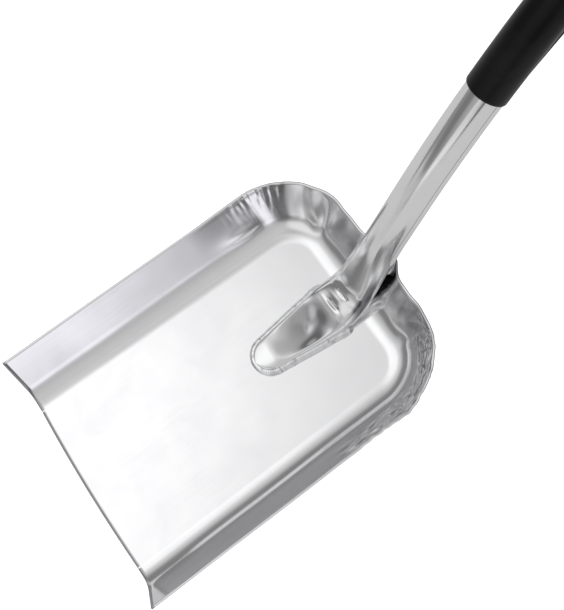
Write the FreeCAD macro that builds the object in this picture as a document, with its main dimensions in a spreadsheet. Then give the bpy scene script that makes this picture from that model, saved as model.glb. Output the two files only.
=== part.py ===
import FreeCAD, Part

import math
import os

Vector = FreeCAD.Vector
Rotation = FreeCAD.Rotation

doc = FreeCAD.newDocument("grain_scoop")
sheet = doc.addObject("Spreadsheet::Sheet", "dims")

# every size in millimetres, every angle in degrees
sizes = {
    "pan_mouth_y": -160.0,
    "pan_length": 374.0,
    "pan_mouth_width": 300.0,
    "pan_back_width": 281.0,
    "pan_depth": 44.5,
    "pan_sheet": 2.0,
    "pan_wall_lean": 38.0,
    "pan_corner_radius": 79.0,
    "pan_floor_radius": 34.0,
    "seat_sheet": 2.0,
    "tube_radius": 19.05,
    "tube_wall": 1.8,
    "tongue_tip_y": 51.0,
    "tongue_tip_radius": 17.5,
    "tongue_heel_width": 54.0,
    "tongue_thick": 8.0,
    "tongue_gap": 0.05,
    "tongue_solid": 16.0,
    "bend_start_y": 142.4,
    "bend_radius": 48.0,
    "lift_angle": 50.0,
    "straight_length": 127.0,
    "round_after_bend": 26.0,
    "bow_radius": 1300.0,
    "bow_length": 475.0,
    "top_length": 70.0,
    "weld_leg": 4.5,
    "weld_root": 1.2,
    "weld_heel_y": 151.0,
    "rim_weld_radius": 22.8,
    "rim_weld_height": 3.0,
    "rim_weld_drop": 5.0,
    "sleeve_start": 141.0,
    "sleeve_radius": 20.7,
    "sleeve_bore_radius": 19.1,
    "socket_length": 70.0,
    "socket_radius": 24.0,
    "socket_cap": 14.0,
    "grip_width": 122.0,
    "grip_height": 104.0,
    "grip_thick": 26.0,
    "grip_round": 8.0,
    "bar_height": 88.0,
    "bar_radius": 14.0,
    "cover_radius": 17.0,
    "cover_length": 84.0,
    "rivet_radius": 2.4,
    "rivet_head_radius": 5.0,
    "rivet_head_height": 2.2,
    "rivet_height": -36.0,
    "rivet_flat_depth": 1.2,
    "washer_radius": 6.0,
    "washer_thick": 1.0,
}
for row, (name, value) in enumerate(sizes.items(), start=1):
    sheet.set(f"A{row}", name)
    sheet.set(f"B{row}", str(value))
    sheet.setAlias(f"B{row}", name)
doc.recompute()


def size(name):
    return float(sheet.get(name))


def bind(feature, prop, formula):
    feature.setExpression(prop, formula)


def originPlane(body, role):
    for item in body.Origin.OriginFeatures:
        if item.Role == role:
            return item
    raise RuntimeError(role)


def newBody(name, placement=None):
    body = doc.addObject("PartDesign::Body", name)
    body.Label = name
    if placement is not None:
        body.Placement = placement
    return body


def newSketch(body, name, role, offset=None):
    sketch = body.newObject("Sketcher::SketchObject", name)
    sketch.AttachmentSupport = [(originPlane(body, role), "")]
    sketch.MapMode = "FlatFace"
    if offset is not None:
        sketch.AttachmentOffset = FreeCAD.Placement(offset, Rotation())
    return sketch


def newPad(body, sketch, name, formula):
    pad = body.newObject("PartDesign::Pad", name)
    pad.Profile = sketch
    bind(pad, "Length", formula)
    sketch.Visibility = False
    return pad


# shaft path
lift = math.radians(size("lift_angle"))
tubeRadius = size("tube_radius")
tubeWall = size("tube_wall")
bendRadius = size("bend_radius")
bowRadius = size("bow_radius")
tongueZ = size("pan_sheet") + size("tongue_gap") + size("tongue_thick") / 2
bendStart = Vector(0, size("bend_start_y"), tongueZ)


def bendPoint(angle):
    return bendStart + Vector(
        0, bendRadius * math.sin(angle), bendRadius * (1 - math.cos(angle))
    )


def along(angle):
    return Vector(0, math.cos(angle), math.sin(angle))


bendEnd = bendPoint(lift)
bowStart = bendEnd + along(lift) * size("straight_length")
bowCentre = bowStart + Vector(0, math.sin(lift), -math.cos(lift)) * bowRadius


def bowPoint(distance):
    angle = lift - distance / bowRadius
    return bowCentre + Vector(0, -math.sin(angle), math.cos(angle)) * bowRadius


def bowRing(outer, bore, begin, end):
    # a length of bent tube along the bow, solid where bore is None
    centre = bowPoint(begin)
    tangent = along(lift - begin / bowRadius)
    face = Part.Face(Part.Wire(Part.makeCircle(outer, centre, tangent)))
    if bore is not None:
        hole = Part.Face(Part.Wire(Part.makeCircle(bore, centre, tangent)))
        face = face.cut(hole)
    sweep = math.degrees((end - begin) / bowRadius)
    return face.revolve(bowCentre, Vector(-1, 0, 0), sweep)


# pan
mouthY = size("pan_mouth_y")
backY = mouthY + size("pan_length")
panDepth = size("pan_depth")
panSheet = size("pan_sheet")
lead = 80.0


def cornerArc(before, corner, after, radius):
    first = (before - corner).normalize()
    second = (after - corner).normalize()
    opening = first.getAngle(second)
    reach = radius / math.tan(opening / 2)
    middle = (first + second).normalize()
    centre = corner + middle * (radius / math.sin(opening / 2))
    return Part.Arc(
        corner + first * reach, centre - middle * radius, corner + second * reach
    )


def drawRim(sketch, inset):
    # the plan of the rim, carried forward of the mouth by the lead
    half = size("pan_mouth_width") / 2 - inset
    halfBack = size("pan_back_width") / 2 - inset
    spread = (half - halfBack) / size("pan_length")
    front = mouthY - lead
    rear = backY - inset
    a = Vector(-half - spread * lead, front, 0)
    b = Vector(half + spread * lead, front, 0)
    c = Vector(halfBack + spread * inset, rear, 0)
    d = Vector(-halfBack - spread * inset, rear, 0)
    radius = size("pan_corner_radius") - inset
    right = cornerArc(b, c, d, radius)
    left = cornerArc(c, d, a, radius)
    sketch.addGeometry(Part.LineSegment(a, b), False)
    sketch.addGeometry(Part.LineSegment(b, right.StartPoint), False)
    sketch.addGeometry(right, False)
    sketch.addGeometry(
        Part.LineSegment(right.EndPoint, left.StartPoint), False
    )
    sketch.addGeometry(left, False)
    sketch.addGeometry(Part.LineSegment(left.EndPoint, a), False)


def lowEdges(feature, height):
    names = []
    for index, edge in enumerate(feature.Shape.Edges, start=1):
        box = edge.BoundBox
        if abs(box.ZMin - height) < 0.01 and abs(box.ZMax - height) < 0.01:
            if box.YMax > mouthY - lead + 1:
                names.append(f"Edge{index}")
    return names


def panBlock(name, inset, floorHeight, round_):
    # the solid inside one face of the sheet, from the rim down to the floor
    body = newBody(name)
    sketch = newSketch(body, name + "_plan", "XY_Plane", Vector(0, 0, panDepth))
    sketch.setExpression("AttachmentOffset.Base.z", "dims.pan_depth")
    drawRim(sketch, inset)
    doc.recompute()
    pad = newPad(body, sketch, name + "_pad", floorHeight)
    pad.Reversed = True
    bind(pad, "TaperAngle", "-dims.pan_wall_lean")
    doc.recompute()
    bottom = 0.0 if inset == 0 else panSheet
    fillet = body.newObject("PartDesign::Fillet", name + "_floor_round")
    fillet.Base = (pad, lowEdges(pad, bottom))
    bind(fillet, "Radius", round_)
    body.Tip = fillet
    doc.recompute()
    return body


wallLean = math.radians(size("pan_wall_lean"))
sheetAcross = panSheet / math.cos(wallLean)
panOuter = panBlock(
    "pan_outside",
    0.0,
    "dims.pan_depth",
    "dims.pan_floor_radius + dims.pan_sheet",
)
panInner = panBlock(
    "pan_inside",
    sheetAcross,
    "dims.pan_depth - dims.pan_sheet",
    "dims.pan_floor_radius",
)

# shaft tube
def sectionWire(centre, angle, halfWide, halfHigh, squareness):
    # closed curve across the shaft; squareness 2 is an ellipse, more is flatter
    normal = Vector(0, -math.sin(angle), math.cos(angle))
    points = []
    count = 40
    for step in range(count):
        turn = 2 * math.pi * step / count
        c, s = math.cos(turn), math.sin(turn)
        power = 2.0 / squareness
        across = math.copysign(abs(c) ** power, c) * halfWide
        up = math.copysign(abs(s) ** power, s) * halfHigh
        points.append(centre + Vector(across, 0, 0) + normal * up)
    curve = Part.BSplineCurve()
    curve.interpolate(points, PeriodicFlag=True)
    return Part.Wire(curve.toShape())


heelHalf = size("tongue_heel_width") / 2
tipCentreY = size("tongue_tip_y") + size("tongue_tip_radius")
tongueHalfHigh = size("tongue_thick") / 2
roundAt = size("round_after_bend")


def tongueHalfWide(y):
    share = (y - tipCentreY) / (bendStart.y - tipCentreY)
    return size("tongue_tip_radius") + share * (
        heelHalf - size("tongue_tip_radius")
    )


# share of the bend: half width, half height over the flat, squareness
bendStages = [
    (0.0, heelHalf, 0.0, 3.2),
    (0.25, heelHalf - 0.3, 1.2, 2.8),
    (0.5, heelHalf - 1.6, 4.6, 2.4),
    (0.75, heelHalf - 3.8, 9.2, 2.15),
    (1.0, heelHalf - 5.9, 12.8, 2.0),
]


def stageAt(share):
    for low, high in zip(bendStages, bendStages[1:]):
        if share <= high[0]:
            part = (share - low[0]) / (high[0] - low[0])
            return [a + (b - a) * part for a, b in zip(low, high)][1:]
    return list(bendStages[-1][1:])


def tongueLoft(shrink, firstY):
    # flattened end, bend and the length in which the shaft becomes round
    wires = []
    for y in (firstY, bendStart.y):
        centre = Vector(0, y, tongueZ)
        half = tongueHalfWide(y) - shrink
        wires.append(sectionWire(centre, 0, half, tongueHalfHigh - shrink, 3.2))
    for step in range(1, 13):
        share = step / 12
        half, rise, squareness = stageAt(share)
        high = tongueHalfHigh + rise - shrink
        centre = bendPoint(lift * share)
        wires.append(
            sectionWire(centre, lift * share, half - shrink, high, squareness)
        )
    for step in range(1, 5):
        share = step / 4
        ease = share * share * (3 - 2 * share)
        half = heelHalf - 5.9
        half += (tubeRadius - half) * ease
        high = tongueHalfHigh + 12.8
        high += (tubeRadius - high) * ease
        centre = bendEnd + along(lift) * (roundAt * share)
        if step < 4:
            wires.append(
                sectionWire(centre, lift, half - shrink, high - shrink, 2.0)
            )
        else:
            rim = Part.Circle(centre, along(lift), tubeRadius - shrink)
            rim.XAxis = Vector(1, 0, 0)
            wires.append(Part.Wire(rim.toShape()))
    return Part.makeLoft(wires, True, True)


def straightRun(radius, begin, end):
    return Part.makeCylinder(
        radius, end - begin, bendEnd + along(lift) * begin, along(lift)
    )


def fuseAll(shapes):
    return shapes[0].fuse(shapes[1:])


def shaftRuns(shrink, firstY, extra):
    # the lengths that make up one face of the shaft wall, low end to top
    radius = tubeRadius - shrink
    top = Part.makeCylinder(
        radius, size("top_length") + extra, bowEnd, along(topAngle)
    )
    return [
        tongueLoft(shrink, firstY),
        straightRun(radius, roundAt, size("straight_length")),
        bowRing(radius, None, 0.0, size("bow_length")),
        top,
    ]


topAngle = lift - size("bow_length") / bowRadius
bowEnd = bowPoint(size("bow_length"))
shaftEnd = bowEnd + along(topAngle) * size("top_length")
gripPlace = FreeCAD.Placement(
    shaftEnd, Rotation(Vector(1, 0, 0), math.degrees(topAngle) - 90)
)

tipRadius = size("tongue_tip_radius")
tipTrim = Part.makeBox(120, 60, 60, Vector(-60, tipCentreY - 60, -20)).cut(
    Part.makeCylinder(tipRadius, 80, Vector(0, tipCentreY, -30))
)
shaftOutside = fuseAll(shaftRuns(0.0, size("tongue_tip_y") - 4, 0.0)).cut(tipTrim)
shaftInside = fuseAll(
    shaftRuns(tubeWall, size("tongue_tip_y") + size("tongue_solid"), 1.0)
)
rivetHole = Part.makeCylinder(
    size("rivet_radius") + 0.1,
    80,
    Vector(-40, 0, size("rivet_height")),
    Vector(1, 0, 0),
)


def inGripFrame(shape):
    moved = shape.copy()
    moved.Placement = gripPlace.multiply(moved.Placement)
    return moved


shaftShape = shaftOutside.cut(shaftInside).cut(inGripFrame(rivetHole))
nodes = {"shaft_tube": shaftShape}

# the back wall is pressed out round the shaft, which lies in the seat
seat = Part.makeCylinder(
    tubeRadius + size("seat_sheet"), 90, bendEnd - along(lift) * 6, along(lift)
).common(Part.makeBox(120, 200, panDepth, Vector(-60, mouthY + 200, 0)))
# everything forward of the mouth is cut away, leaving a straight open front
mouthBlock = Part.makeBox(400, 200, 100, Vector(-200, mouthY - 200, -20))
panBlank = panOuter.Shape.fuse(seat).cut(panInner.Shape).cut(mouthBlock)
nodes["pan"] = panBlank.cut(shaftOutside)


# welds
def beadFace(place):
    # section of a fillet bead: foot on the floor, back against the tongue
    leg = size("weld_leg")
    root = size("weld_root")
    a = Vector(-root, 0, 0)
    b = Vector(leg, 0, 0)
    c = Vector(0.1, 0, leg)
    d = Vector(-root, 0, leg)
    bulge = Part.Arc(b, Vector(leg * 0.62, 0, leg * 0.62), c).toShape()
    wire = Part.Wire(
        [Part.makeLine(a, b), bulge, Part.makeLine(c, d), Part.makeLine(d, a)]
    )
    face = Part.Face(wire)
    face.Placement = place
    return face


tilt = math.atan2(heelHalf - tipRadius, bendStart.y - tipCentreY)
tipCentre = Vector(0, tipCentreY, panSheet)
edgePoint = tipCentre + Vector(math.cos(tilt), -math.sin(tilt), 0) * tipRadius
runLength = (size("weld_heel_y") - edgePoint.y) / math.cos(tilt)
rightFace = beadFace(
    FreeCAD.Placement(edgePoint, Rotation(Vector(0, 0, 1), -math.degrees(tilt)))
)
rightRun = rightFace.extrude(Vector(math.sin(tilt), math.cos(tilt), 0) * runLength)
tipTurn = 180 - 2 * math.degrees(tilt)
tipRun = rightFace.revolve(tipCentre, Vector(0, 0, -1), tipTurn)
leftRun = rightRun.mirror(Vector(0, 0, 0), Vector(1, 0, 0))
for name, run in (
    ("tongue_weld_tip", tipRun),
    ("tongue_weld_left", leftRun),
    ("tongue_weld_right", rightRun),
):
    nodes[name] = run.cut(shaftOutside)

# bead on the lip of the seat, under the shaft
lipRing = Part.makeCylinder(
    size("rim_weld_radius"), 120, bendEnd, along(lift)
).common(
    Part.makeBox(
        120,
        200,
        size("rim_weld_height"),
        Vector(-60, mouthY + 250, panDepth),
    )
)
under = Part.makeBox(120, 240, 60, Vector(-60, -60, -60 - size("rim_weld_drop")))
under.Placement = FreeCAD.Placement(
    bendEnd, Rotation(Vector(1, 0, 0), size("lift_angle"))
).multiply(under.Placement)
nodes["rim_weld"] = lipRing.common(under).cut(shaftOutside)

# sleeve
nodes["shaft_sleeve"] = bowRing(
    size("sleeve_radius"),
    size("sleeve_bore_radius"),
    size("sleeve_start"),
    size("bow_length"),
)


# grip
def armsPlate():
    half = size("grip_width") / 2
    top = size("grip_height")
    thick = size("grip_thick")
    arm = 15.0
    outline = [
        (-21, -2),
        (21, -2),
        (half, 60),
        (half, top - 8),
        (half - 5, top),
        (half - arm, top),
        (half - arm, 66),
        (14, 22),
        (-14, 22),
        (arm - half, 66),
        (arm - half, top),
        (5 - half, top),
        (-half, top - 8),
        (-half, 60),
    ]
    points = [Vector(x, -thick / 2, z) for x, z in outline]
    plate = Part.Face(Part.makePolygon(points + points[:1])).extrude(
        Vector(0, thick, 0)
    )
    upright = [
        edge
        for edge in plate.Edges
        if abs(edge.Length - thick) < 0.01 and edge.BoundBox.ZMax > 10
    ]
    plate = plate.makeFillet(4.0, upright)
    faces = [
        edge
        for edge in plate.Edges
        if edge.BoundBox.YLength < 0.01 and edge.BoundBox.ZMax > 1
    ]
    return plate.makeFillet(size("grip_round") - 2.5, faces)


def barCylinder(radius, length):
    return Part.makeCylinder(
        radius, length, Vector(-length / 2, 0, size("bar_height")), Vector(1, 0, 0)
    )


socketBottom = -size("socket_length")
capTop = size("socket_cap")
socket = Part.makeCylinder(
    size("socket_radius"),
    size("socket_length") + capTop,
    Vector(0, 0, socketBottom),
)
socket = socket.makeFillet(
    2.0, [e for e in socket.Edges if abs(e.BoundBox.ZLength) < 0.01]
)
yoke = fuseAll(
    [socket, armsPlate(), barCylinder(size("bar_radius"), size("grip_width") - 16)]
)
bore = Part.makeCylinder(
    size("sleeve_bore_radius"),
    size("socket_length") + 0.5,
    Vector(0, 0, socketBottom),
)
yoke = yoke.cut(bore).cut(rivetHole)
flatX = size("socket_radius") - size("rivet_flat_depth")
for side in (1, -1):
    flat = Part.makeCylinder(
        size("washer_radius") + 0.4,
        10,
        Vector(side * flatX, 0, size("rivet_height")),
        Vector(side, 0, 0),
    )
    yoke = yoke.cut(flat)
nodes["grip_yoke"] = inGripFrame(yoke)

cover = barCylinder(size("cover_radius"), size("cover_length"))
cover = cover.makeFillet(
    1.5, [e for e in cover.Edges if abs(e.BoundBox.XLength) < 0.01]
).cut(barCylinder(size("bar_radius"), size("cover_length") + 10))
nodes["grip_bar_cover"] = inGripFrame(cover)


def rivetHead(startX, side):
    low = Vector(startX, 0, size("rivet_height"))
    head = Part.makeCylinder(
        size("rivet_head_radius"), size("rivet_head_height"), low, Vector(side, 0, 0)
    )
    outerEdge = [
        e
        for e in head.Edges
        if abs(e.BoundBox.XLength) < 0.01
        and abs(abs(e.BoundBox.XMax) - abs(startX)) > 1
    ]
    return head.makeFillet(size("rivet_head_height") * 0.8, outerEdge)


washerX = flatX + size("washer_thick")
shank = Part.makeCylinder(
    size("rivet_radius"),
    flatX + washerX,
    Vector(-washerX, 0, size("rivet_height")),
    Vector(1, 0, 0),
)
rivet = fuseAll([shank, rivetHead(flatX, 1), rivetHead(-washerX, -1)])
nodes["grip_rivet"] = inGripFrame(rivet)
washer = Part.makeCylinder(
    size("washer_radius"),
    size("washer_thick"),
    Vector(-washerX, 0, size("rivet_height")),
    Vector(1, 0, 0),
).cut(rivetHole)
nodes["grip_rivet_washer"] = inGripFrame(washer)

# export
os.makedirs("parts", exist_ok=True)
for name, shape in nodes.items():
    part = doc.addObject("Part::Feature", name)
    part.Label = name
    part.Shape = shape
doc.recompute()
for item in doc.Objects:
    if "Invalid" in item.State or "Error" in item.State:
        raise RuntimeError(f"{item.Name} is {item.State}")
for name in nodes:
    shape = doc.getObject(name).Shape
    if shape.isNull() or not shape.isValid():
        raise RuntimeError(f"{name} has a bad shape")
    shape.exportStep(f"parts/{name}.step")
    print(name, len(shape.Solids), round(shape.Volume))
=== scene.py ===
import math

import bpy
import numpy as np
from mathutils import Matrix, Vector


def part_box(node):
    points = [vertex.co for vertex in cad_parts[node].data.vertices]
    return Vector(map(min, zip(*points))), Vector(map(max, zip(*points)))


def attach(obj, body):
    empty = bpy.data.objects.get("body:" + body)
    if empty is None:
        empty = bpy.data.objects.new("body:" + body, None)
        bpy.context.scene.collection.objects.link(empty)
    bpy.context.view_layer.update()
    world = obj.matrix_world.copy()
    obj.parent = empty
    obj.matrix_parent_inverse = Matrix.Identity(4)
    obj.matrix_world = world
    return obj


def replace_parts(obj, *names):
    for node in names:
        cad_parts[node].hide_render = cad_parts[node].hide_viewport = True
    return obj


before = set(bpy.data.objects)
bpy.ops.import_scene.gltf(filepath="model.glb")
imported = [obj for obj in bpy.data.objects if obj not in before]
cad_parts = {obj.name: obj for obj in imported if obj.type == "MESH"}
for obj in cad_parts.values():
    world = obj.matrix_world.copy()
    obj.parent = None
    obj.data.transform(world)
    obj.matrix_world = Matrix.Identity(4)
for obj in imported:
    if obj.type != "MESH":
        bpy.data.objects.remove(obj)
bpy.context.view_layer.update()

mm = 0.001
print("frame loaded:", len(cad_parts), "nodes")


def smoothStep(value, low, high):
    # 0 below low, 1 above high, 3t^2 - 2t^3 between
    t = np.clip((value - low) / (high - low), 0, 1)
    return t * t * (3 - 2 * t)


def bump(value, centre, width):
    # bell curve, 1 at the centre
    return np.exp(-(((value - centre) / width) ** 2))


def weighted(values, weights):
    # running weighted mean, with the end values carried on past the ends
    padded = np.pad(values, len(weights) // 2, mode="edge")
    return np.convolve(padded, weights, mode="valid")


def ripples(a, b, wavelength, seed, count=16):
    # sum of plane waves in random directions, with lengths near the one given, about -1 to 1
    rng = np.random.default_rng(seed)
    total = np.zeros(np.broadcast(a, b).shape)
    for _ in range(count):
        turn, phase = rng.uniform(0, 2 * np.pi, 2)
        wave = 2 * np.pi / (wavelength * rng.uniform(0.7, 1.6))
        total = total + np.sin((a * np.cos(turn) + b * np.sin(turn)) * wave + phase)
    return total / math.sqrt(count)


def gridFaces(rows, columns, closed=False):
    # four-cornered faces of a grid, row by row; closed joins the last column to the first
    r = np.arange(rows - 1)[:, None]
    c = np.arange(columns if closed else columns - 1)[None, :]
    n = (c + 1) % columns
    corners = (r * columns + c, r * columns + n, (r + 1) * columns + n, (r + 1) * columns + c)
    faces = np.stack(np.broadcast_arrays(*corners), -1).reshape(-1, 4)
    steps = ((c, r), (c + 1, r), (c + 1, r + 1), (c, r + 1))
    uv = np.stack([np.stack(np.broadcast_arrays(*s), -1) for s in steps], 2).reshape(-1, 2)
    return faces, uv.astype(float)


def makePiece(name, points, faces, material, uv=None):
    # a mesh from points in millimetres; its place is in the mesh and its object stays at the origin
    mesh = bpy.data.meshes.new(name)
    mesh.from_pydata((points * mm).tolist(), [], [list(f) for f in faces])
    if uv is not None:
        layer = mesh.uv_layers.new(name="surface")
        layer.data.foreach_set("uv", np.asarray(uv, dtype=np.float32).ravel())
    mesh.polygons.foreach_set("use_smooth", [True] * len(mesh.polygons))
    mesh.materials.append(material)
    mesh.update()
    piece = bpy.data.objects.new(name, mesh)
    bpy.context.scene.collection.objects.link(piece)
    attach(piece, "root")
    return piece


def ringSkin(rings):
    # skin over rings of points, with a fan of triangles over each end; returns points, faces and uv
    rows, columns = rings.shape[:2]
    points = rings.reshape(-1, 3)
    faces, uv = gridFaces(rows, columns, closed=True)
    uv = uv / [columns, rows - 1]
    faces = faces.tolist()
    centres = (rings[0].mean(0), rings[-1].mean(0))
    points = np.vstack([points, centres])
    first, last = len(points) - 2, len(points) - 1
    top = (rows - 1) * columns
    c = np.arange(columns)
    n = (c + 1) % columns
    faces += np.stack([np.full(columns, first), n, c], 1).tolist()
    faces += np.stack([np.full(columns, last), top + c, top + n], 1).tolist()
    fans = np.repeat([[0.5, 0.0], [0.5, 1.0]], 3 * columns, axis=0)
    uv = np.vstack([uv, fans])
    return points, faces, uv


class Shader:
    # one material's node tree, with short calls for the nodes it uses
    def __init__(self, name, **sockets):
        self.material = bpy.data.materials.new(name)
        self.material.use_nodes = True
        self.tree = self.material.node_tree
        self.surface = self.tree.nodes["Principled BSDF"]
        for socket, value in sockets.items():
            self.surface.inputs[socket.replace("_", " ")].default_value = value
        self.place = self.tree.nodes.new("ShaderNodeTexCoord")

    def wire(self, source, target):
        self.tree.links.new(source, target)

    def mapped(self, output, scale, shift=(0, 0, 0)):
        node = self.tree.nodes.new("ShaderNodeMapping")
        node.inputs["Scale"].default_value = scale
        node.inputs["Location"].default_value = shift
        self.wire(self.place.outputs[output], node.inputs["Vector"])
        return node.outputs["Vector"]

    def noise(self, vector, scale, detail=3.0, rough=0.5, warp=0.0):
        node = self.tree.nodes.new("ShaderNodeTexNoise")
        node.inputs["Scale"].default_value = scale
        node.inputs["Detail"].default_value = detail
        node.inputs["Roughness"].default_value = rough
        node.inputs["Distortion"].default_value = warp
        self.wire(vector, node.inputs["Vector"])
        return node.outputs["Fac"]

    def ramp(self, value, stops):
        node = self.tree.nodes.new("ShaderNodeValToRGB")
        band = node.color_ramp
        while len(band.elements) < len(stops):
            band.elements.new(0.5)
        for element, (at, colour) in zip(band.elements, stops):
            element.position = at
            tone = colour if isinstance(colour, tuple) else (colour, colour, colour)
            element.color = (*tone, 1.0)
        self.wire(value, node.inputs["Fac"])
        return node.outputs["Color"]

    def blend(self, value, low, high):
        node = self.tree.nodes.new("ShaderNodeMapRange")
        node.interpolation_type = "SMOOTHSTEP"
        node.inputs["From Min"].default_value = low
        node.inputs["From Max"].default_value = high
        self.wire(value, node.inputs["Value"])
        return node.outputs["Result"]

    def combine(self, kind, a, b):
        node = self.tree.nodes.new("ShaderNodeMath")
        node.operation = kind
        for socket, value in zip(node.inputs, (a, b)):
            if isinstance(value, (int, float)):
                socket.default_value = value
            else:
                self.wire(value, socket)
        return node.outputs["Value"]

    def mix(self, share, first, second):
        node = self.tree.nodes.new("ShaderNodeMix")
        node.data_type = "RGBA"
        for socket, value in ((node.inputs[0], share), (node.inputs[6], first), (node.inputs[7], second)):
            if isinstance(value, (int, float)):
                socket.default_value = value
            elif isinstance(value, tuple):
                socket.default_value = (*value, 1.0)
            else:
                self.wire(value, socket)
        return node.outputs[2]

    def relief(self, height, strength, depth):
        node = self.tree.nodes.new("ShaderNodeBump")
        node.inputs["Strength"].default_value = strength
        node.inputs["Distance"].default_value = depth
        self.wire(height, node.inputs["Height"])
        self.wire(node.outputs["Normal"], self.surface.inputs["Normal"])


panFinish = {
    "tone": (0.965, 0.965, 0.972),
    "dullTone": (0.915, 0.915, 0.932),
    "paintedWallShade": 0.88,    # painted shade: tone of the back and right walls, as a share of the dull tone
    "patchShade": 0.62,     # the same in the patches of painted reflection on the back wall
    "rollLines": (520.0, 7.0, 520.0),
    "roughLow": 0.12,
    "roughHigh": 0.19,
    "relief": 0.00010,
}


def panMetal():
    # rolled sheet: fine lines along Y, cloudy handling marks, a speckle of tiny pits, and painted shade
    # on the back and right walls, with dark patches of painted reflection on the back wall
    s = Shader("rolledPanSheet", Metallic=1.0)
    lines = s.noise(s.mapped("Object", panFinish["rollLines"]), 1.0, 2.0)
    cloud = s.noise(s.mapped("Object", (1, 1, 1)), 22.0, 4.0, 0.55, 0.6)
    pits = s.noise(s.mapped("Object", (1, 1, 1)), 620.0, 2.0, 0.6)
    pitMask = s.ramp(s.noise(s.mapped("Object", (1, 1, 1)), 9.0, 2.0), [(0.5, 0.0), (0.62, 1.0)])
    speck = s.combine("MULTIPLY", s.ramp(pits, [(0.60, 0.0), (0.68, 1.0)]), pitMask)
    split = s.tree.nodes.new("ShaderNodeSeparateXYZ")
    s.wire(s.place.outputs["Object"], split.inputs["Vector"])
    onWall = s.blend(split.outputs["Z"], 0.012, 0.030)
    backOrRight = s.combine("MAXIMUM", s.blend(split.outputs["Y"], 0.135, 0.185),
                            s.blend(split.outputs["X"], 0.02, 0.10))
    # painted shade: this mask tones the back and right walls down
    wallShadeMask = s.combine("MULTIPLY", onWall, backOrRight)
    patchNoise = s.noise(s.mapped("Object", (1, 1, 0.5)), 26.0, 1.0, 0.4, 1.2)
    patches = s.ramp(patchNoise, [(0.44, 0.0), (0.60, 1.0)])
    atBack = s.combine("MULTIPLY", s.blend(split.outputs["Y"], 0.150, 0.190),
                       s.blend(split.outputs["Z"], 0.016, 0.026))
    bright = s.mix(cloud, panFinish["tone"], panFinish["dullTone"])
    wallShadeTone = tuple(v * panFinish["paintedWallShade"] for v in panFinish["dullTone"])
    dark = tuple(v * panFinish["patchShade"] for v in panFinish["dullTone"])
    # painted reflection: dark patches on the back wall, over the painted shade
    paintedShadeTone = s.mix(s.combine("MULTIPLY", patches, atBack), wallShadeTone, dark)
    s.wire(s.mix(wallShadeMask, bright, paintedShadeTone), s.surface.inputs["Base Color"])
    low, high = panFinish["roughLow"], panFinish["roughHigh"]
    s.wire(s.ramp(s.combine("ADD", s.combine("MULTIPLY", cloud, 0.7), s.combine("MULTIPLY", lines, 0.3)),
                  [(0.35, low), (0.65, high)]), s.surface.inputs["Roughness"])
    height = s.combine("ADD", s.combine("MULTIPLY", lines, 0.35), s.combine("MULTIPLY", speck, -0.5))
    s.relief(height, 0.35, panFinish["relief"])
    return s.material


shaftFinish = {
    "tone": (0.93, 0.932, 0.93),
    "dullTone": (0.81, 0.812, 0.815),
    # painted reflections: place round the tube, fade sideways, start and end along it (all as shares),
    # strength and tone
    "paintedReflections": (
        {"round": 0.066, "fades": (0.050, 0.030), "starts": (0.118, 0.150), "ends": (0.226, 0.185),
         "share": 0.85, "tone": (0.13, 0.13, 0.14)},
        {"round": 0.25, "fades": (0.17, 0.09), "starts": (0.030, 0.085), "ends": (0.120, 0.108),
         "share": 0.8, "tone": (0.46, 0.46, 0.475)},
    ),
    "seam": (0.12, 0.12, 0.125),
    "seamAt": 0.031,
    "seamHalf": 0.0022,
    "roughLow": 0.07,
    "roughHigh": 0.15,
}


def shaftMetal():
    # drawn tube: streaks along its length by its own UV, one thin dark seam line and two areas of painted
    # reflection
    s = Shader("drawnShaftTube", Metallic=1.0)
    streaks = s.noise(s.mapped("UV", (160.0, 3.0, 1.0)), 1.0, 3.0)
    cloud = s.noise(s.mapped("Object", (1, 1, 1)), 30.0, 3.0, 0.5, 0.4)
    split = s.tree.nodes.new("ShaderNodeSeparateXYZ")
    s.wire(s.place.outputs["UV"], split.inputs["Vector"])
    away = s.combine("ABSOLUTE", s.combine("SUBTRACT", split.outputs["X"], shaftFinish["seamAt"]), 0.0)
    seam = s.combine("MULTIPLY", s.combine("LESS_THAN", away, shaftFinish["seamHalf"]),
                 s.combine("GREATER_THAN", split.outputs["Y"], 0.212))
    mottle = s.combine("MULTIPLY", s.combine("ADD", streaks, cloud), 0.5)
    metal = s.mix(mottle, shaftFinish["tone"], shaftFinish["dullTone"])
    # two toned areas, standing in for dark reflections: a stripe low on the right shoulder, and the trough
    for darkReflection in shaftFinish["paintedReflections"]:
        off = s.combine("ABSOLUTE", s.combine("SUBTRACT", split.outputs["X"], darkReflection["round"]), 0.0)
        along = s.combine("MULTIPLY", s.blend(split.outputs["Y"], *darkReflection["starts"]),
                          s.blend(split.outputs["Y"], *darkReflection["ends"]))
        here = s.combine("MULTIPLY", s.blend(off, *darkReflection["fades"]), along)
        # painted reflection: the colour is darkened here in place of a dark reflection
        metal = s.mix(s.combine("MULTIPLY", here, darkReflection["share"]), metal, darkReflection["tone"])
    s.wire(s.mix(seam, metal, shaftFinish["seam"]), s.surface.inputs["Base Color"])
    roughness = s.ramp(mottle, [(0.35, shaftFinish["roughLow"]), (0.65, shaftFinish["roughHigh"])])
    s.wire(roughness, s.surface.inputs["Roughness"])
    s.relief(s.combine("SUBTRACT", s.combine("MULTIPLY", streaks, 0.3), seam), 0.3, 0.0002)
    return s.material


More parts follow.
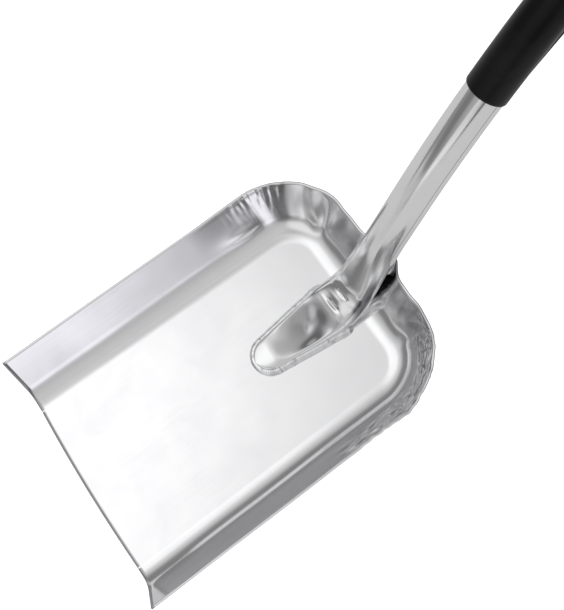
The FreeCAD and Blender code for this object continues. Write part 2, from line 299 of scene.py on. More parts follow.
def weldMetal():
    # bead metal: duller than the sheet, with fine scale and dark specks
    s = Shader("weldBeadMetal", Metallic=1.0)
    grain = s.noise(s.mapped("Object", (1, 1, 1)), 420.0, 4.0, 0.6)
    soot = s.ramp(s.noise(s.mapped("Object", (1, 1, 1)), 160.0, 3.0), [(0.55, 0.0), (0.68, 1.0)])
    s.wire(s.mix(soot, (0.92, 0.92, 0.93), (0.62, 0.62, 0.64)), s.surface.inputs["Base Color"])
    s.wire(s.ramp(grain, [(0.3, 0.10), (0.7, 0.24)]), s.surface.inputs["Roughness"])
    s.relief(grain, 0.25, 0.00015)
    return s.material


def blackPlastic(name, tone, rough, grainSize, depth, gloss):
    # black moulding or sleeve: fine grain, faint rubbed patches and dust-light wear
    s = Shader(name, Specular_IOR_Level=gloss)
    grain = s.noise(s.mapped("Object", (1, 1, 1)), grainSize, 3.0, 0.6)
    rubbed = s.noise(s.mapped("Object", (1, 1, 1)), 18.0, 4.0, 0.6, 0.5)
    lift = tuple(v * 2.2 + 0.004 for v in tone)
    s.wire(s.mix(s.ramp(rubbed, [(0.45, 0.0), (0.75, 1.0)]), tone, lift), s.surface.inputs["Base Color"])
    s.wire(s.ramp(s.combine("ADD", s.combine("MULTIPLY", grain, 0.4), s.combine("MULTIPLY", rubbed, 0.6)),
                  [(0.3, rough - 0.06), (0.7, rough + 0.08)]), s.surface.inputs["Roughness"])
    s.relief(grain, 0.4, depth)
    return s.material


def rivetMetal():
    # plain zinc coat: cloudy and a little brushed
    s = Shader("zincRivet", Metallic=1.0)
    brushed = s.noise(s.mapped("Object", (300, 2400, 2400)), 1.0, 2.0)
    cloud = s.noise(s.mapped("Object", (1, 1, 1)), 260.0, 3.0)
    s.wire(s.mix(cloud, (0.62, 0.62, 0.64), (0.46, 0.47, 0.50)), s.surface.inputs["Base Color"])
    s.wire(s.ramp(brushed, [(0.3, 0.24), (0.7, 0.42)]), s.surface.inputs["Roughness"])
    s.relief(brushed, 0.3, 0.00005)
    return s.material


panMaterial = panMetal()
shaftMaterial = shaftMetal()
weldMaterial = weldMetal()
sleeveMaterial = blackPlastic("sleeveBlack", (0.0045, 0.0045, 0.0048), 0.30, 900.0, 0.00003, 0.2)
gripMaterial = blackPlastic("gripMoulding", (0.011, 0.011, 0.012), 0.46, 700.0, 0.00012, 0.5)
coverMaterial = blackPlastic("barCoverRubber", (0.018, 0.018, 0.019), 0.62, 500.0, 0.00015, 0.4)
rivetMaterial = rivetMetal()
print("materials made")


panLow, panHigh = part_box("pan")
shaftLine = {
    "bendStart": (142.4, 6.05),
    "bendRadius": 48.0,
    "lift": math.radians(50.0),
    "straight": 127.0,
    "bowRadius": 1300.0,
    "bow": 475.0,
    "top": 70.0,
    "tipY": 51.0,
    "tipRadius": 17.5,
    "heelHalf": 27.0,
    "radius": 19.05,
    "roundAfter": 84.0,
    # the section at five even steps round the bend: half width, half height and squareness
    "bendWide": (27.0, 26.8, 26.0, 24.9, 23.7),
    "bendHigh": (4.0, 5.2, 7.8, 10.8, 13.2),
    "bendSquare": (3.2, 2.8, 2.4, 2.15, 2.0),
}
tipCentreY = shaftLine["tipY"] + shaftLine["tipRadius"]
tongueRun = shaftLine["bendStart"][0] - shaftLine["tipY"]
bendRun = shaftLine["bendRadius"] * shaftLine["lift"]
straightFrom = tongueRun + bendRun
bowFrom = straightFrom + shaftLine["straight"]
topFrom = bowFrom + shaftLine["bow"]
shaftRun = topFrom + shaftLine["top"]


def shaftAngle(s):
    # slope of the centre line at a distance s from the tip
    rise = np.clip(s - tongueRun, 0, bendRun) / shaftLine["bendRadius"]
    return rise - np.clip(s - bowFrom, 0, shaftLine["bow"]) / shaftLine["bowRadius"]


def shaftPoint(s):
    # centre line at a distance s from the tip: the slope summed along fine steps
    fine = np.linspace(0, shaftRun, 16001)
    angle = shaftAngle(fine)
    step = fine[1] - fine[0]
    y = np.concatenate([[0], np.cumsum((np.cos(angle[1:]) + np.cos(angle[:-1])) / 2 * step)])
    z = np.concatenate([[0], np.cumsum((np.sin(angle[1:]) + np.sin(angle[:-1])) / 2 * step)])
    return np.interp(s, fine, y + shaftLine["tipY"]), np.interp(s, fine, z + shaftLine["bendStart"][1])


def shaftSection(s):
    # half width, half height and squareness of the section, eased from flat end to round tube
    line = shaftLine
    share = (s - tongueRun) / bendRun
    steps = (0, 0.25, 0.5, 0.75, 1)
    after = smoothStep(s, straightFrom - 14, straightFrom + line["roundAfter"])
    widening = (line["heelHalf"] - line["tipRadius"]) / (line["bendStart"][0] - tipCentreY)
    tongue = line["tipRadius"] + np.clip(s + line["tipY"] - tipCentreY, 0, None) * widening
    wide = np.where(share < 0, tongue, np.interp(share, steps, line["bendWide"]))
    wide = wide + (line["radius"] - line["bendWide"][-1]) * after
    high = np.interp(share, steps, line["bendHigh"])
    high = high + (line["radius"] - line["bendHigh"][-1]) * after
    square = np.interp(share, steps, line["bendSquare"])
    weights = np.exp(-np.linspace(-2, 2, 9) ** 2)
    return [weighted(values, weights / weights.sum()) for values in (wide, high, square)]


panSizes = {
    "mouthY": panLow[1] / mm,
    "length": 374.0,
    "halfMouth": panHigh[0] / mm,
    "halfBack": 140.5,
    "depth": panHigh[2] / mm,
    "sheet": 2.0,
    "lean": math.radians(38.0),
    "corner": 79.0,
    "floorRound": 34.0,
    "sideSteps": 90,
    "cornerSteps": 90,
    "backSteps": 52,
    "roundRows": 20,
    "wallRows": 26,
    "crimp": 0.42,          # depth of the gathers in the back corners
    "dents": 0.85,          # depth of the soft dents in the back wall
    "leftFolds": ((0.10, 0.3, 0.016), (0.19, 0.45, 0.020), (0.30, 0.3, 0.018)),
    "leftTwist": 1.5,
    "lowFold": 1.3,
    "mouthBow": 3.5,        # how far the middle of the front edge stands forward
    "seatSoft": 2.5,        # how softly the wall turns out round the shaft
    "seatOut": 11.0,        # how far the rim stands out behind the shaft
    "seatHalf": 22.0,
}


def rimHalf():
    # right half of the rim from mouth to middle of the back: straight side, arc, straight back
    p = panSizes
    turn = math.atan2(p["halfMouth"] - p["halfBack"], p["length"])
    reach = p["halfMouth"] * math.cos(turn) + p["mouthY"] * math.sin(turn)
    cy = p["mouthY"] + p["length"] - p["corner"]
    cx = (reach - p["corner"] - cy * math.sin(turn)) / math.cos(turn)
    sideEnd = np.array([cx + p["corner"] * math.cos(turn), cy + p["corner"] * math.sin(turn)])
    t = np.linspace(0, 1, p["sideSteps"] + 1)[:-1]
    t = 1 - (1 - t) ** 1.35          # closer steps towards the corner
    mouth = np.array([p["halfMouth"], p["mouthY"]])
    side = mouth + (sideEnd - mouth) * t[:, None]
    a = np.linspace(turn, math.pi / 2, p["cornerSteps"] + 1)[:-1]
    arc = np.stack([cx + p["corner"] * np.cos(a), cy + p["corner"] * np.sin(a)], 1)
    x = np.linspace(cx, 0, p["backSteps"] + 1)
    back = np.stack([x, np.full_like(x, cy + p["corner"])], 1)
    normal = np.vstack([
        np.tile([math.cos(turn), math.sin(turn)], (len(side), 1)),
        np.stack([np.cos(a), np.sin(a)], 1),
        np.tile([0.0, 1.0], (len(back), 1)),
    ])
    corner = np.concatenate([np.zeros(len(side)), (a - turn) / (math.pi / 2 - turn), np.ones(len(back))])
    return np.vstack([side, arc, back]), normal, corner


def rimPath():
    # the whole rim, left mouth to right mouth: point, outward direction, corner share and length along
    point, normal, corner = rimHalf()
    flip = np.array([-1.0, 1.0])
    path = np.vstack([point * flip, point[-2::-1]])
    out = np.vstack([normal * flip, normal[-2::-1]])
    share = np.concatenate([corner, corner[-2::-1]])
    along = np.concatenate([[0], np.cumsum(np.linalg.norm(np.diff(path, axis=0), axis=1))])
    return path, out, share, along


def panProfile():
    # section of the sheet from the floor edge inside, up and over the rim, to the floor edge outside:
    # inset from the rim, height, height share 0 to 1, skin 0 inside to 1 outside, direction of push
    p = panSizes
    c, s, t = math.cos(p["lean"]), math.sin(p["lean"]), math.tan(p["lean"])
    centreZ = p["sheet"] + p["floorRound"]
    wallTop = p["sheet"] / c
    footZ = centreZ - p["floorRound"] * s
    centreInset = wallTop + (p["depth"] - footZ) * t + p["floorRound"] * c

    def skin(radius, edge, rounds, walls, outside):
        turn = np.linspace(math.pi / 2, p["lean"], rounds + 1)
        inset = centreInset - radius * np.cos(turn)
        z = centreZ - radius * np.sin(turn)
        wallZ = np.linspace(z[-1], p["depth"] - 0.35, walls + 1)[1:]
        wallInset = edge + (p["depth"] - wallZ) * t
        inset = np.concatenate([inset, wallInset])
        z = np.concatenate([z, wallZ])
        direction = np.concatenate([turn, np.full(walls, p["lean"])])
        run = np.concatenate([[0], np.cumsum(np.hypot(np.diff(inset), np.diff(z)))])
        return np.stack([inset, z, run / run[-1], np.full(len(z), outside), direction], 1)

    inner = skin(p["floorRound"], wallTop, p["roundRows"], p["wallRows"], 0.0)
    outer = skin(p["floorRound"] + p["sheet"], 0.0, 12, 14, 1.0)[::-1]
    lip = np.array([[wallTop - 0.30, p["depth"], 1, 0.1, p["lean"]],
                    [wallTop / 2, p["depth"] + 0.05, 1, 0.5, p["lean"]],
                    [0.35, p["depth"], 1, 0.9, p["lean"]]])
    return np.vstack([inner, lip, outer])


def seatPush(x, y, z, skin):
    # how far the sheet moves out to lie round the shaft: depth below the shaft's line is held
    # above the shaft's own depth there by a soft maximum, d + k ln(1 + e^((D - d)/k))
    by, bz = shaftLine["bendStart"]
    r, lift = shaftLine["bendRadius"], shaftLine["lift"]
    cz = bz + r
    angle = np.arctan2(y - by, cz - z)
    onBend = angle < lift
    ey, ez = by + r * math.sin(lift), cz - r * math.cos(lift)
    ahead = (y - ey) * math.cos(lift) + (z - ez) * math.sin(lift)
    straightDepth = (y - ey) * math.sin(lift) - (z - ez) * math.cos(lift)
    bendDepth = np.hypot(y - by, cz - z) - r
    depth = np.where(onBend, bendDepth, straightDepth)
    distance = np.where(onBend, tongueRun + np.clip(angle, 0, None) * r,
                        straightFrom + np.clip(ahead, 0, None))
    order = np.linspace(0, straightFrom + 120, 600)
    wide, high = shaftSection(order)[:2]
    w = np.interp(distance, order, wide) + skin
    h = np.interp(distance, order, high) + skin + 0.35
    flat = np.clip(np.abs(x) / w, 0, 1)
    floorOf = h * (1 - flat ** 2) ** 0.5 - 1.5 * np.clip(np.abs(x) - w, 0, None)
    k = panSizes["seatSoft"]
    need = k * np.log1p(np.exp(np.clip((floorOf - depth) / k, -30, 30)))
    near = smoothStep(angle, math.radians(24), math.radians(46)) * smoothStep(y, 160, 178)
    need = need * near * (1 - smoothStep(np.abs(x), 45, 75))
    back = smoothStep(angle, math.radians(28), math.radians(50))
    dy, dz = 1.0, -(1 - back) * 0.9
    norm = np.sin(np.clip(angle, 0.3, lift)) * dy - np.cos(np.clip(angle, 0.3, lift)) * dz
    return need * dy / norm, need * dz / norm


def panPush(along, share, side, height, x, y):
    # movement of the sheet square to itself, in millimetres, inwards positive: sums of plane waves
    # over length along the rim and height up the wall, each faded to its own part of the rim
    p = panSizes
    arc = np.clip(share, 0, 1)
    crossing = ripples(along, height * 9.0, 7.5, 5) * 0.7 + ripples(along, height * 20.0, 4.2, 8) * 0.5
    running = (ripples(along * 0.20, height * 68.0, 9.0, 12) * 0.9
               + ripples(along * 0.45, height * 68.0, 4.6, 21) * 0.45)
    left = (side < 0) * smoothStep(y, 100, 128) * (1 - smoothStep(arc, 0.22, 0.42))
    right = (side > 0) * smoothStep(y, 62, 112) * (1 - smoothStep(arc, 0.72, 0.92))
    push = p["crimp"] * left * (0.65 * crossing * height ** 5 + 0.12 * running * height)
    rightWaves = 2.5 * running + 0.5 * crossing * height ** 1.6
    push = push + p["crimp"] * right * smoothStep(height, 0.42, 0.8) * rightWaves
    # folds that run down from the left corner's rim: place along the arc, depth and width
    for at, deep, wide in p["leftFolds"]:
        fold = bump(arc + 0.10 * (1 - height), at + 0.05, wide)
        push = push + deep * fold * (side < 0) * smoothStep(height, 0.5, 0.9)
    # the left wall turns out a little towards its corner
    outward = smoothStep(y, 66, 122) * (1 - smoothStep(arc, 0.0, 0.4)) * smoothStep(height, 0.3, 1.0)
    push = push - p["leftTwist"] * (side < 0) * outward
    backness = smoothStep(arc, 0.35, 0.85)
    soft = ripples(along, height * 40.0, 30.0, 31) * smoothStep(np.abs(x), 26, 60)
    push = push + p["dents"] * backness * soft * smoothStep(height, 0.18, 0.6)
    push = push + 0.16 * ripples(along, height * 68.0, 90.0, 3) * smoothStep(height, 0.0, 0.5)
    # one long fold where the left corner starts, low on the wall
    fold = bump(y, 118, 20) * bump(height, 0.50, 0.10) * (side < 0) * (1 - smoothStep(arc, 0.2, 0.5))
    return push + p["lowFold"] * fold


def floorHeight(x, y):
    # the flat floor is very slightly uneven
    return 0.05 * ripples(x, y, 120.0, 17) + 0.012 * ripples(x, y, 45.0, 18)


def mouthShift(x, y):
    # front edge: middle stands a little forward
    bow = np.clip(1 - (x / 118.0) ** 2, 0, None)
    return -panSizes["mouthBow"] * bow * (1 - smoothStep(y, panSizes["mouthY"], panSizes["mouthY"] + 120))


def makePan():
    # inner and outer skins as one sheet: a profile carried along the rim, and two floor patches
    # filled between their four sides (Coons: side blends minus corner blend)
    p = panSizes
    path, out, share, along = rimPath()
    profile = panProfile()
    inset, z, height, skin, direction = profile.T
    n, m = len(path), len(profile)
    side = np.sign(path[:, 0])[:, None]
    rimX, rimY = path[:, 0:1], path[:, 1:2]
    outX, outY = out[:, 0:1], out[:, 1:2]
    x = rimX - outX * inset
    y = rimY - outY * inset
    z = np.broadcast_to(z, (n, m)).copy()
    # both ends of the sweep are brought square to the mouth
    endGap = np.where(rimX < 0, y[0], y[-1]) - p["mouthY"]
    y = y - endGap * (1 - smoothStep(rimY, p["mouthY"], p["mouthY"] + 110))
    push = panPush(along[:, None], share[:, None], side, height[None, :], x, rimY)
    x = x - outX * np.cos(direction) * push
    y = y - outY * np.cos(direction) * push
    z = z + np.sin(direction) * push * np.minimum(1.0, (p["depth"] - z) / 4.0 + 0.15)
    foot = 1 - smoothStep(height, 0.0, 0.25)
    z = z + floorHeight(x, y) * foot
    # the seat behind the shaft
    hollow = np.exp(-np.clip(np.abs(x) / p["seatHalf"], 0, 4) ** 3.2) * smoothStep(height, 0.12, 0.95)
    y = y + p["seatOut"] * hollow * (rimY > 150)
    dy, dz = seatPush(x, y, z, skin * p["sheet"])
    y, z = y + dy, z + dz
    y = y + mouthShift(x, y)
    points = [np.stack([x, y, z], -1).reshape(-1, 3)]
    faces, _ = gridFaces(n, m)
    faces = [faces[:, ::-1]]
    start = n * m
    a = p["sideSteps"] + p["cornerSteps"] // 2
    grid = np.stack([x, y, z], -1)
    ids = np.arange(n * m).reshape(n, m)
    patchIds = []
    for column in (0, m - 1):
        edge, edgeIds = grid[:, column], ids[:, column]
        left, right, back = edge[:a + 1], edge[::-1][:a + 1], edge[a:n - a]
        u = np.linspace(0, 1, len(back))[None, :, None]
        lengths = np.concatenate([[0], np.cumsum(np.linalg.norm(np.diff(left, axis=0), axis=1))])
        v = (lengths / lengths[-1])[:, None, None]
        front = left[0] * (1 - u) + right[0] * u
        patch = left[:, None] * (1 - u) + right[:, None] * u + front * (1 - v) + back[None] * v
        backCorners = left[-1] * (1 - u) + right[-1] * u
        patch = patch - front * (1 - v) - backCorners * v
        level = p["sheet"] if column == 0 else 0.0
        x, y = patch[..., 0], patch[..., 1]
        fromSides, fromBack = u[..., 0] * (1 - u[..., 0]) * 40, (1 - v[..., 0]) * 20
        middle = np.minimum(np.minimum(fromSides, 1), np.minimum(fromBack, 1))
        patch[..., 2] = patch[..., 2] * (1 - middle) + middle * (level + floorHeight(x, y))
        patch[..., 1] = y + (mouthShift(x, y) - mouthShift(left[0][0], y)) * middle
        rows, columns = patch.shape[:2]
        own = np.full((rows, columns), -1)
        own[:, 0], own[:, -1] = edgeIds[:a + 1], edgeIds[::-1][:a + 1]
        own[-1] = edgeIds[a:n - a]
        fresh = own < 0
        own[fresh] = start + np.arange(fresh.sum())
        start += fresh.sum()
        points.append(patch[fresh])
        quads, _ = gridFaces(rows, columns)
        quads = own.ravel()[quads]
        faces.append(quads if column == 0 else quads[:, ::-1])
        patchIds.append(own)
    # close the mouth between the two skins: quads along the floor, a ladder of triangles up each wall
    inFloor, outFloor = patchIds[0][0], patchIds[1][0]
    lip = np.stack([inFloor[:-1], outFloor[:-1], outFloor[1:], inFloor[1:]], 1)
    faces.append(lip)
    total = np.vstack(points)
    faces = np.vstack(faces).tolist()
    for ring in (ids[0].tolist(), ids[-1][::-1].tolist()):
        i, j = 0, len(ring) - 1
        while j - i > 1:
            # the shorter of the two diagonals
            forward = np.linalg.norm(total[ring[i + 1]] - total[ring[j]])
            backward = np.linalg.norm(total[ring[i]] - total[ring[j - 1]])
            if forward < backward:
                faces.append([ring[i], ring[j], ring[i + 1]])
                i += 1
            else:
                faces.append([ring[i], ring[j], ring[j - 1]])
                j -= 1
    piece = makePiece("panSheet", total, faces, panMaterial)
    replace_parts(piece, "pan")
    return piece


pan = makePan()
print("pan made:", len(pan.data.polygons), "faces")


shaftLook = {
    "around": 112,
    # over the line of the shaft, by distance from the tip: the top's sides, and its sunken middle
    "sides": ((0, 3.0), (20, 4.5), (32, 4.5), (60, 5.8), (80, 8.4), (91.4, 11.2), (104.6, 13.4),
              (118.7, 14.9), (133.3, 13.8)),
    "middle": ((0, 3.0), (20, 4.4), (27, 3.4), (60, -2.5), (67, -1.6), (76, 2.2), (82, 6.4), (88, 10.0),
               (93, 11.9), (104.6, 13.5), (118.7, 14.8), (133.3, 13.8)),
    "valley": 0.26,         # where the deepest line lies between the middle and the right side
    "crush": 1.8,           # depth of the two dimples inside the bend
    "dimples": ((98, 7.5), (118, 7.0)),     # distance from the tip and half length of each
    "tipRound": 2.0,
}


def makeShaft():
    # rings square to the centre line: across = W |cos|^(2/q), up = H |sin|^(2/q), q the squareness;
    # the top is then sunk by (sides - middle)(1 - f^1.7), f the share of the way out to the edge
    look = shaftLook
    s = np.concatenate([
        shaftLine["tipRadius"] * (1 - np.cos(np.linspace(0.02, math.pi / 2, 26)))[:-1],
        np.linspace(shaftLine["tipRadius"], tongueRun, 46)[:-1],
        np.linspace(tongueRun, straightFrom + 30, 84)[:-1],
        np.linspace(straightFrom + 30, bowFrom, 34)[:-1],
        np.linspace(bowFrom, topFrom, 110)[:-1],
        np.linspace(topFrom, shaftRun, 8),
    ])
    order = np.linspace(0, shaftRun, 1500)
    wide, high, square = (np.interp(s, order, v) for v in shaftSection(order))
    nose = np.clip(1 - s / shaftLine["tipRadius"], 0, 1)
    wide = wide * np.sqrt(np.clip(1 - nose ** 2, 0.0004, 1))
    high = high * (0.55 + 0.45 * np.sqrt(1 - np.clip(1 - s / look["tipRound"], 0, 1) ** 2))
    angle = shaftAngle(s)
    y, z = shaftPoint(s)
    a = np.arange(look["around"]) / look["around"] * 2 * np.pi
    power = (2 / square)[:, None]
    across = np.sign(np.cos(a)) * np.abs(np.cos(a)) ** power * wide[:, None]
    up = np.sign(np.sin(a)) * np.abs(np.sin(a)) ** power * high[:, None]
    top = smoothStep(up / high[:, None], 0.2, 0.9)
    sideways = across / wide[:, None]
    toTube = smoothStep(s, straightFrom - 4, straightFrom + 16)
    weights = np.array([1, 2, 3, 4, 3, 2, 1]) / 16
    sides, middle = (weighted(np.interp(s, *np.array(look[key], dtype=float).T), weights)
                     for key in ("sides", "middle"))
    sides, middle = (v * (1 - toTube) + high * toTube for v in (sides, middle))
    up = np.where(up > 0, up * (sides / high)[:, None], up)
    valley = look["valley"] * smoothStep(s, 10, 45) * (1 - smoothStep(s, 50, 78))
    offset = sideways - valley[:, None]
    fall = np.abs(offset) / np.where(offset < 0, 0.86 + valley[:, None], 0.86 - valley[:, None])
    dish = (sides - middle)[:, None] * top * np.clip(1 - fall ** 1.7, 0, None)
    along = s[:, None]
    lean = across * 0.12
    crush = -0.35 * bump(along, 108 + lean, 3.5) * bump(across, 0.0, 9.0)
    for at, half in look["dimples"]:
        crush = crush + bump(along, at + lean, 2.6) * bump(across, 1.0, half)
    up = up - dish - look["crush"] * crush * top
    # a pressed line along the left shoulder
    reach = smoothStep(along, tongueRun - 10, tongueRun + 10)
    reach = reach * (1 - smoothStep(along, straightFrom + 30, straightFrom + 60))
    shoulder = bump(a, math.radians(140), 0.10) * reach
    across, up = across * (1 - 0.035 * shoulder), up * (1 - 0.06 * shoulder)
    points = np.stack([
        across,
        y[:, None] - up * np.sin(angle)[:, None],
        z[:, None] + up * np.cos(angle)[:, None],
    ], -1)
    skin, faces, uv = ringSkin(points)
    # v by length along the shaft, not by row
    uv[:, 1] = np.interp(uv[:, 1] * (len(s) - 1), np.arange(len(s)), s / shaftRun)
    piece = makePiece("shaftTube", skin, faces, shaftMaterial, uv)
    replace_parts(piece, "shaft_tube")
    return piece


shaft = makeShaft()
print("shaft made:", len(shaft.data.polygons), "faces")


weldLook = {"wide": 4.4, "high": 2.9, "pitch": 2.3, "ripple": 0.10, "around": 18}


def beadSkin(line, side, up, wide, high, pitch, ripple, taper=5.0):
    # a low rounded bead: wide cos a across, high sin a up, swollen by |sin| ripples that lag at its edges
    along = np.concatenate([[0], np.cumsum(np.linalg.norm(np.diff(line, axis=0), axis=1))])
    a = np.arange(weldLook["around"]) / weldLook["around"] * 2 * np.pi
    ends = np.sqrt(np.clip(np.minimum(along, along[-1] - along) / taper, 0.002, 1))[:, None]
    lag = np.cos(a) ** 2 * pitch * 0.8
    wave = np.abs(np.sin(np.pi * (along[:, None] - lag) / pitch))
    wander = 1 + 0.06 * ripples(along, 0 * along, 9.0, 4)[:, None]
    swell = (1 + ripple * (wave - 0.6) * 0.5) * wander * ends
    return (line[:, None] + side[:, None] * (wide * swell * np.cos(a))[..., None]
            + up[:, None] * (high * swell * np.sin(a))[..., None])


def tongueEdge(fromS, toS, steps, side):
    # line round the foot of the flattened end, and its outward direction
    y = np.linspace(fromS, toS, steps)
    places = (tipCentreY, shaftLine["bendStart"][0])
    half = np.interp(y, places, (shaftLine["tipRadius"], shaftLine["heelHalf"]))
    line = np.stack([side * (half + 0.5), y, np.full(steps, 3.1)], 1)
    turn = math.atan2(shaftLine["heelHalf"] - shaftLine["tipRadius"], shaftLine["bendStart"][0] - tipCentreY)
    out = np.tile([side * math.cos(turn), -math.sin(turn), 0.0], (steps, 1))
    return line, out


def makeWelds():
    w = weldLook
    up = lambda n: np.tile([0.0, 0.0, 1.0], (n, 1))
    for side, name, node in ((-1, "weldLeft", "tongue_weld_left"), (1, "weldRight", "tongue_weld_right")):
        line, out = tongueEdge(tipCentreY - 4, 151.0, 150, side)
        rings = beadSkin(line, out, up(150), w["wide"], w["high"], w["pitch"], w["ripple"])
        if side < 0:
            rings = rings[:, ::-1]
        points, faces, uv = ringSkin(rings[::-1])
        piece = makePiece(name, points, faces, weldMaterial, uv)
        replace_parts(piece, node)
    a = np.linspace(math.radians(-12), math.radians(192), 140)
    r = shaftLine["tipRadius"] + 0.5
    line = np.stack([r * np.cos(a), tipCentreY - r * np.sin(a), np.full(140, 3.1)], 1)
    out = np.stack([np.cos(a), -np.sin(a), 0 * a], 1)
    rings = beadSkin(line, out, up(140), w["wide"], w["high"], w["pitch"], w["ripple"])
    points, faces, uv = ringSkin(rings)
    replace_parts(makePiece("weldTip", points, faces, weldMaterial, uv), "tongue_weld_tip")
    # bead on the seat's lip, round the back of the shaft
    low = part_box("rim_weld")[0]
    lift = shaftLine["lift"]
    level = low[2] / mm + 0.4
    by, bz = shaftLine["bendStart"]
    ey = by + shaftLine["bendRadius"] * math.sin(lift)
    ez = bz + shaftLine["bendRadius"] * (1 - math.cos(lift))
    cy = ey + (level - ez) / math.tan(lift)
    a = np.linspace(math.radians(22), math.radians(158), 90)
    r = shaftLine["radius"] + 1.5
    line = np.stack([r * np.cos(a), cy + r * np.sin(a) / math.sin(lift), np.full(90, level)], 1)
    out = np.stack([np.cos(a), np.sin(a), 0 * a], 1)
    rings = beadSkin(line, out, up(90), 2.3, 2.2, 2.2, 0.3, 4.0)
    points, faces, uv = ringSkin(rings[::-1])
    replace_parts(makePiece("weldRim", points, faces, weldMaterial, uv), "rim_weld")


makeWelds()
print("welds made")


sleeveLook = {"from": 141.0, "radius": 20.7, "bore": 19.12, "edge": 0.7, "around": 96}


def makeSleeve():
    # a closed section (outside, rounded ends, bore) turned round the bowed line of the shaft
    k = sleeveLook
    start, end = bowFrom + k["from"], topFrom
    e = k["edge"]
    q = np.linspace(0, math.pi / 2, 6)
    run = np.linspace(start + e, end - e, 90)
    s = np.concatenate([start + e - e * np.sin(q[::-1]), run[1:-1], end - e + e * np.sin(q),
                        [end, start]])
    flank = k["radius"] - e
    r = np.concatenate([flank + e * np.cos(q[::-1]), np.full(88, k["radius"]), flank + e * np.cos(q),
                        [k["bore"], k["bore"]]])
    a = np.arange(k["around"]) / k["around"] * 2 * np.pi
    angle = shaftAngle(s)
    y, z = shaftPoint(s)
    soft = 0.05 * ripples(s[:, None], a[None, :] * 20, 60.0, 6) * (r > k["bore"] + 0.5)[:, None]
    radius = r[:, None] + soft
    lift = radius * np.sin(a)
    rings = np.stack([radius * np.cos(a), y[:, None] - lift * np.sin(angle)[:, None],
                      z[:, None] + lift * np.cos(angle)[:, None]], -1)
    points = rings.reshape(-1, 3)
    faces, uv = gridFaces(len(s), k["around"], closed=True)
    rows = len(s)
    last = (rows - 1) * k["around"]
    c = np.arange(k["around"])
    n = (c + 1) % k["around"]
    join = np.stack([last + c, last + n, n, c], 1)
    faces = np.vstack([faces, join])
    uv = np.vstack([uv, np.tile([[0, 0], [1, 0], [1, 1], [0, 1]], (len(join), 1))]) / [k["around"], rows]
    piece = makePiece("shaftSleeve", points, faces, sleeveMaterial, uv)
    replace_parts(piece, "shaft_sleeve")
    return piece


sleeve = makeSleeve()
print("sleeve made")


gripFinishes = {
    "grip_yoke": gripMaterial,
    "grip_bar_cover": coverMaterial,
    "grip_rivet": rivetMaterial,
    "grip_rivet_washer": rivetMaterial,
}
for name, material in gripFinishes.items():
    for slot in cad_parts[name].material_slots:
        slot.material = material
print("grip finished")


studio = {
    # soft lights: direction, and brightness by how near a ray comes to it (the cosine of the angle)
    "lights": (
        ((-0.42, -0.30, 0.86), ((0.0, 0.22), (0.28, 0.32), (0.50, 0.37), (0.65, 0.40), (0.75, 0.42),
                                (0.857, 0.48), (0.92, 0.62), (0.95, 0.71), (0.970, 0.90), (0.985, 1.02))),
        ((0.22, -0.82, 0.53), ((0.88, 0.0), (0.95, 0.40))),
        ((-0.10, -0.10, 0.99), ((0.93, 0.0), (0.965, 0.10), (0.985, 0.09), (1.0, 0.0))),
        ((0.62, -0.10, 0.78), ((0.82, 0.0), (0.95, 0.17))),
        ((0.44, -0.89, 0.05), ((0.96, 0.0), (0.988, 0.85))),
    ),
    # what is left of those lights by height above the horizon (the sine of the angle)
    "levels": ((0.0, 0.58), (0.05, 0.78), (0.10, 0.68), (0.16, 0.50), (0.36, 0.52), (0.44, 0.60),
               (0.52, 0.92), (0.60, 1.0)),
    "card": (0.93, -0.25, 0.27),
    "cardStops": ((0.93, 0.0), (0.965, 0.12), (0.985, 0.53), (0.995, 0.86)),
    "cardTint": (0.99, 0.972, 1.03),
    "horizon": (-0.12, -0.99, 0.05),
    "horizonStops": ((0.93, 0.0), (0.975, 1.0)),
    "horizonLevels": ((0.0, 0.34), (0.075, 0.30), (0.105, 0.0)),
    "floorSize": 12.0,
    "floorTone": 0.72,
    "floorGlow": 0.27,
    "floorLift": 0.75,      # added only where the camera sees the floor itself
    "lens": 82.98,
    "cameraPlace": (0.43242, 0.12931, 1.23965),
    "cameraLook": (-0.35419595, -0.0175448, -0.93500664),
    "cameraRight": (0.54710523, 0.80697977, -0.22239495),
}


def makeFloor():
    h = studio["floorSize"] / 2
    mesh = bpy.data.meshes.new("studioFloor")
    corners = [(x, y, -0.0002) for x, y in ((-h, -h), (h, -h), (h, h), (-h, h))]
    mesh.from_pydata(corners, [], [(0, 1, 2, 3)])
    floor = bpy.data.objects.new("studioFloor", mesh)
    bpy.context.scene.collection.objects.link(floor)
    s = Shader("paleFloor", Base_Color=(studio["floorTone"],) * 3 + (1,), Roughness=0.9)
    s.surface.inputs["Specular IOR Level"].default_value = 0.0
    s.surface.inputs["Emission Color"].default_value = (1, 1, 1, 1)
    path = s.tree.nodes.new("ShaderNodeLightPath")
    lift = s.combine("MULTIPLY", path.outputs["Is Camera Ray"], studio["floorLift"])
    glow = s.combine("ADD", lift, studio["floorGlow"])
    s.wire(glow, s.surface.inputs["Emission Strength"])
    mesh.materials.append(s.material)


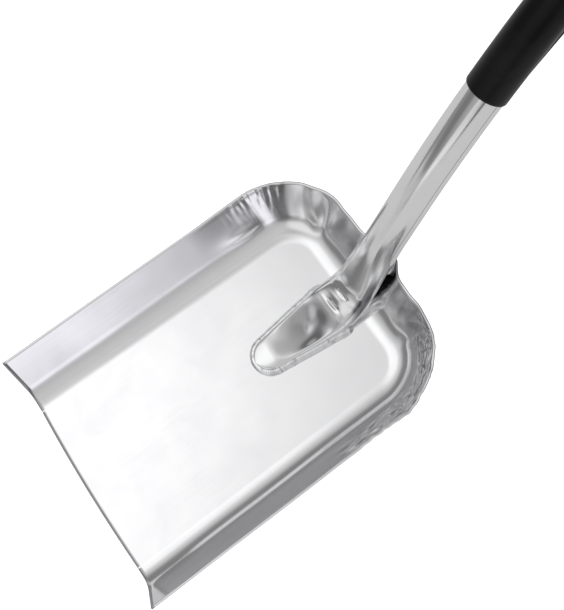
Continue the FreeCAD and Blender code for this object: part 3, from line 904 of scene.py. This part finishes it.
def makeSky():
    # soft light from all round: the lights summed and scaled by height, then the card low on the
    # right and a strip on the front horizon; seen directly, the backdrop is plain white
    world = bpy.data.worlds.new("studioSky")
    world.use_nodes = True
    bpy.context.scene.world = world
    tree = world.node_tree
    place = tree.nodes.new("ShaderNodeTexCoord")

    def bandOf(value, stops, tint=(1.0, 1.0, 1.0)):
        ramp = tree.nodes.new("ShaderNodeValToRGB")
        while len(ramp.color_ramp.elements) < len(stops):
            ramp.color_ramp.elements.new(0.5)
        for element, (at, tone) in zip(ramp.color_ramp.elements, stops):
            element.position = at
            element.color = (*(tone * c for c in tint), 1)
        tree.links.new(value, ramp.inputs["Fac"])
        return ramp.outputs["Color"]

    def nearness(direction):
        dot = tree.nodes.new("ShaderNodeVectorMath")
        dot.operation = "DOT_PRODUCT"
        dot.inputs[1].default_value = Vector(direction).normalized()
        tree.links.new(place.outputs["Generated"], dot.inputs[0])
        return dot.outputs["Value"]

    def joined(kind, first, second):
        node = tree.nodes.new("ShaderNodeVectorMath")
        node.operation = kind
        tree.links.new(first, node.inputs[0])
        tree.links.new(second, node.inputs[1])
        return node.outputs["Vector"]

    bands = [bandOf(nearness(direction), stops) for direction, stops in studio["lights"]]
    total = bands[0]
    for band in bands[1:]:
        total = joined("ADD", total, band)
    split = tree.nodes.new("ShaderNodeSeparateXYZ")
    tree.links.new(place.outputs["Generated"], split.inputs["Vector"])
    total = joined("MULTIPLY", total, bandOf(split.outputs["Z"], studio["levels"]))
    card = bandOf(nearness(studio["card"]), studio["cardStops"], studio["cardTint"])
    total = joined("ADD", total, card)
    strip = joined("MULTIPLY", bandOf(nearness(studio["horizon"]), studio["horizonStops"]),
                   bandOf(split.outputs["Z"], studio["horizonLevels"]))
    total = joined("ADD", total, strip)
    path = tree.nodes.new("ShaderNodeLightPath")
    mix = tree.nodes.new("ShaderNodeMix")
    mix.data_type = "RGBA"
    tree.links.new(path.outputs["Is Camera Ray"], mix.inputs[0])
    tree.links.new(total, mix.inputs[6])
    mix.inputs[7].default_value = (1, 1, 1, 1)
    tree.links.new(mix.outputs[2], tree.nodes["Background"].inputs["Color"])


def makeCamera():
    data = bpy.data.cameras.new("studioCamera")
    data.lens = studio["lens"]
    data.sensor_width = 36.0
    data.sensor_fit = "HORIZONTAL"
    data.clip_start = 0.05
    data.clip_end = 40.0
    camera = bpy.data.objects.new("studioCamera", data)
    bpy.context.scene.collection.objects.link(camera)
    look = Vector(studio["cameraLook"]).normalized()
    right = Vector(studio["cameraRight"])
    right = (right - look * right.dot(look)).normalized()
    up = right.cross(look)
    turn = Matrix((right, up, -look)).transposed()
    camera.matrix_world = Matrix.Translation(studio["cameraPlace"]) @ turn.to_4x4()
    bpy.context.scene.camera = camera


makeFloor()
makeSky()
makeCamera()
bpy.context.scene.view_settings.view_transform = "Standard"
print("studio made")
